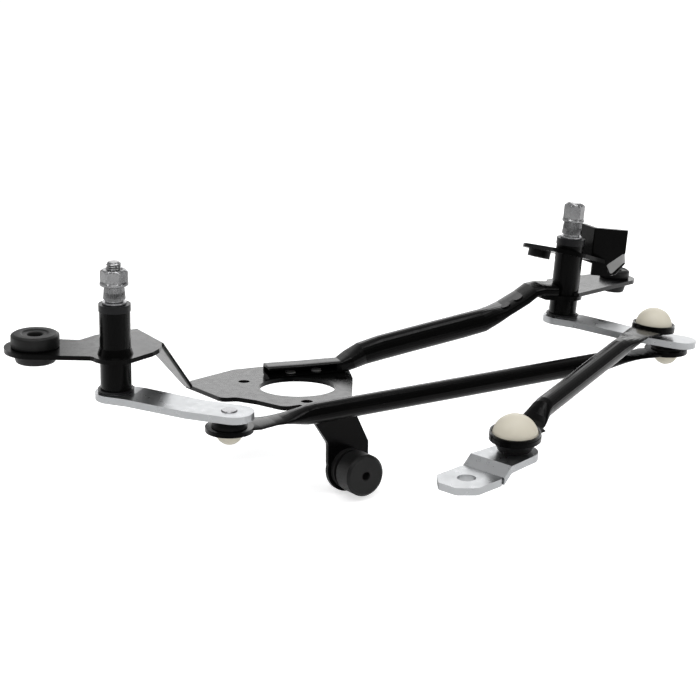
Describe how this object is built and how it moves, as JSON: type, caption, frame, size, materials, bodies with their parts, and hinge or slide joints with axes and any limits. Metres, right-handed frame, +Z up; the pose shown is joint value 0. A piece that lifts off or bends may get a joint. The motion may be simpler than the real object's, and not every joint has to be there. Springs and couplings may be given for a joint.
{
  "type": "wiper_linkage",
  "caption": "Windshield wiper linkage: black pressed and tubular frame, two wiper pivots with plated levers, ball-jointed links and a loose motor crank.",
  "frame": {"origin": "centre of the motor pilot hole, on the top face of the motor plate", "axes": "+X from the left wiper pivot towards the right wiper pivot, +Y away from the link side, +Z up along the left pivot and the left mounting grommet"},
  "size_m": [0.4287, 0.2193, 0.1418],
  "materials": {
    "black_paint": "semi-gloss black paint on pressed steel",
    "black_link_paint": "semi-gloss black paint on drawn tube",
    "sintered_bronze": "oiled sintered bronze",
    "rubber": "matte black moulded rubber",
    "black_plastic": "matte black moulded plastic",
    "cream_plastic": "ivory moulded bearing plastic",
    "steel": "bright turned steel",
    "zinc": "bright zinc plated steel"
  },
  "bodies": {
    "frame": {"main_bracket": "black_paint", "frame_tube": "black_paint", "left_tube_rivets": "black_paint", "right_tube_rivets": "black_paint", "right_lower_bracket": "black_paint", "right_upper_bracket": "black_paint", "upper_ear_pad": "rubber", "left_pivot_tube": "black_paint", "right_pivot_tube": "black_paint", "left_upper_bush": "sintered_bronze", "left_lower_bush": "sintered_bronze", "right_upper_bush": "sintered_bronze", "right_lower_bush": "sintered_bronze", "left_tube_cap": "black_plastic", "right_tube_cap": "black_plastic", "left_seal_washer": "black_plastic", "right_seal_washer": "black_plastic", "left_thrust_washer": "steel", "right_thrust_washer": "steel", "left_grommet": "rubber", "right_grommet": "rubber", "leg_grommet": "rubber"},
    "left_pivot": {"left_shaft": "zinc", "left_lever": "zinc", "left_nut": "zinc", "left_retaining_ring": "steel", "left_ball_stud": "steel"},
    "right_pivot": {"right_shaft": "zinc", "right_lever": "zinc", "right_nut": "zinc", "right_retaining_ring": "steel", "right_link_ball_stud": "steel", "right_drive_ball_stud": "steel"},
    "connecting_link": {"connecting_link": "black_link_paint", "link_left_socket": "cream_plastic", "link_right_socket": "cream_plastic", "link_left_boot": "rubber", "link_right_boot": "rubber"},
    "drive_link": {"drive_link": "black_link_paint", "drive_lever_socket": "cream_plastic", "drive_crank_socket": "cream_plastic", "drive_lever_boot": "rubber", "drive_crank_boot": "rubber"},
    "motor_crank": {"motor_crank": "zinc", "crank_ball_stud": "steel"}
  },
  "joints": [
    {"name": "wiper_sweep", "type": "hinge", "parent": "frame", "child": "right_pivot", "pos_m": [0.188, -0.0035, 0.015], "axis": [0.0906, 0, 0.9959], "range_deg": [-82, 8]},
    {"name": "left_sweep", "type": "hinge", "parent": "frame", "child": "left_pivot", "pos_m": [-0.1161, -0.0035, 0.015], "axis": [0, 0, 1], "range_deg": [-82, 8]},
    {"name": "link_swing", "type": "hinge", "parent": "right_pivot", "child": "connecting_link", "pos_m": [0.22689, -0.05729, 0.00162], "axis": [0.1025, -0.0161, 0.9946], "range_deg": [-8.2, 82.3]},
    {"name": "drive_swing", "type": "hinge", "parent": "right_pivot", "child": "drive_link", "pos_m": [0.22278, -0.04966, 0.01886], "axis": [0.0906, 0, 0.9959], "range_deg": [-8, 82]},
    {"name": "crank_turn", "type": "hinge", "parent": "drive_link", "child": "motor_crank", "pos_m": [0.05064, -0.14042, 0.00626], "axis": [0, 0, 1], "continuous": true}
  ],
  "couplings": [
    {"joint": "left_sweep", "follows": "wiper_sweep", "ratio": 0.9948},
    {"joint": "link_swing", "follows": "wiper_sweep", "ratio": -1.0008},
    {"joint": "drive_swing", "follows": "wiper_sweep", "ratio": -1}
  ]
}
